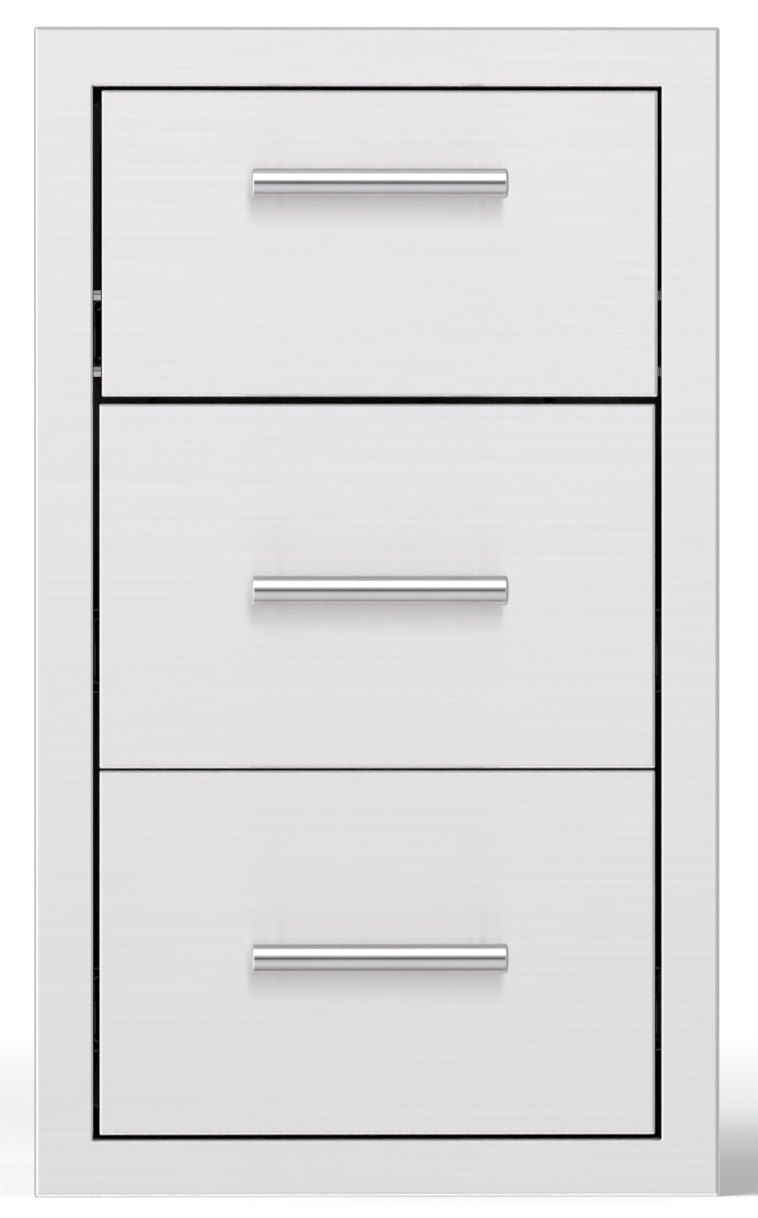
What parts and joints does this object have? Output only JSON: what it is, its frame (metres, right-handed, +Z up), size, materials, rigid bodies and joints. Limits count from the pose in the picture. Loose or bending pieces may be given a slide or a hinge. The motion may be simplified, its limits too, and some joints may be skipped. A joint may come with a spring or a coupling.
{
  "type": "outdoor kitchen drawer unit",
  "caption": "Built-in stainless drawer unit: a flanged face frame and sheet casing hold stacked drawers with bar handles on full-extension ball-bearing slides.",
  "frame": {"origin": "middle of the overall box in X and Y, at the height of the face frame's lower edge", "axes": "+X to the right seen from the front, +Y from the drawer fronts to the casing's back, +Z up"},
  "size_m": [0.4318, 0.5554, 0.7366],
  "materials": {
    "satin_stainless": "satin, brushed along the width",
    "casing_stainless": "mill finish sheet",
    "handle_stainless": "bright, turned and polished",
    "slide_steel": "zinc plated",
    "screw_stainless": "plain turned"
  },
  "bodies": {
    "cabinet": {"face_frame": "satin_stainless", "casing_left_side": "casing_stainless", "casing_right_side": "casing_stainless", "casing_top": "casing_stainless", "casing_bottom": "casing_stainless", "casing_back": "casing_stainless", "upper_left_slide_outer": "slide_steel", "upper_right_slide_outer": "slide_steel", "middle_left_slide_outer": "slide_steel", "middle_right_slide_outer": "slide_steel", "lower_left_slide_outer": "slide_steel", "lower_right_slide_outer": "slide_steel"},
    "upper_drawer": {"upper_front_panel": "satin_stainless", "upper_front_liner": "casing_stainless", "upper_box_left_side": "casing_stainless", "upper_box_right_side": "casing_stainless", "upper_box_floor": "casing_stainless", "upper_box_back": "casing_stainless", "upper_handle_bar": "handle_stainless", "upper_handle_post_left": "handle_stainless", "upper_handle_post_right": "handle_stainless", "upper_handle_screw_left": "screw_stainless", "upper_handle_screw_right": "screw_stainless", "upper_left_slide_inner": "slide_steel", "upper_right_slide_inner": "slide_steel"},
    "upper_runners": {"upper_left_slide_middle": "slide_steel", "upper_right_slide_middle": "slide_steel"},
    "middle_drawer": {"middle_front_panel": "satin_stainless", "middle_front_liner": "casing_stainless", "middle_box_left_side": "casing_stainless", "middle_box_right_side": "casing_stainless", "middle_box_floor": "casing_stainless", "middle_box_back": "casing_stainless", "middle_handle_bar": "handle_stainless", "middle_handle_post_left": "handle_stainless", "middle_handle_post_right": "handle_stainless", "middle_handle_screw_left": "screw_stainless", "middle_handle_screw_right": "screw_stainless", "middle_left_slide_inner": "slide_steel", "middle_right_slide_inner": "slide_steel"},
    "middle_runners": {"middle_left_slide_middle": "slide_steel", "middle_right_slide_middle": "slide_steel"},
    "lower_drawer": {"lower_front_panel": "satin_stainless", "lower_front_liner": "casing_stainless", "lower_box_left_side": "casing_stainless", "lower_box_right_side": "casing_stainless", "lower_box_floor": "casing_stainless", "lower_box_back": "casing_stainless", "lower_handle_bar": "handle_stainless", "lower_handle_post_left": "handle_stainless", "lower_handle_post_right": "handle_stainless", "lower_handle_screw_left": "screw_stainless", "lower_handle_screw_right": "screw_stainless", "lower_left_slide_inner": "slide_steel", "lower_right_slide_inner": "slide_steel"},
    "lower_runners": {"lower_left_slide_middle": "slide_steel", "lower_right_slide_middle": "slide_steel"}
  },
  "joints": [
    {"name": "upper_drawer_slide", "type": "slide", "parent": "cabinet", "child": "upper_drawer", "axis": [0, -1, 0], "range_m": [0, 0.457]},
    {"name": "upper_runner_slide", "type": "slide", "parent": "cabinet", "child": "upper_runners", "axis": [0, -1, 0], "range_m": [0, 0.2285]},
    {"name": "middle_drawer_slide", "type": "slide", "parent": "cabinet", "child": "middle_drawer", "axis": [0, -1, 0], "range_m": [0, 0.457]},
    {"name": "middle_runner_slide", "type": "slide", "parent": "cabinet", "child": "middle_runners", "axis": [0, -1, 0], "range_m": [0, 0.2285]},
    {"name": "lower_drawer_slide", "type": "slide", "parent": "cabinet", "child": "lower_drawer", "axis": [0, -1, 0], "range_m": [0, 0.457]},
    {"name": "lower_runner_slide", "type": "slide", "parent": "cabinet", "child": "lower_runners", "axis": [0, -1, 0], "range_m": [0, 0.2285]}
  ],
  "couplings": [
    {"joint": "upper_runner_slide", "follows": "upper_drawer_slide", "ratio": 0.5},
    {"joint": "middle_runner_slide", "follows": "middle_drawer_slide", "ratio": 0.5},
    {"joint": "lower_runner_slide", "follows": "lower_drawer_slide", "ratio": 0.5}
  ]
}
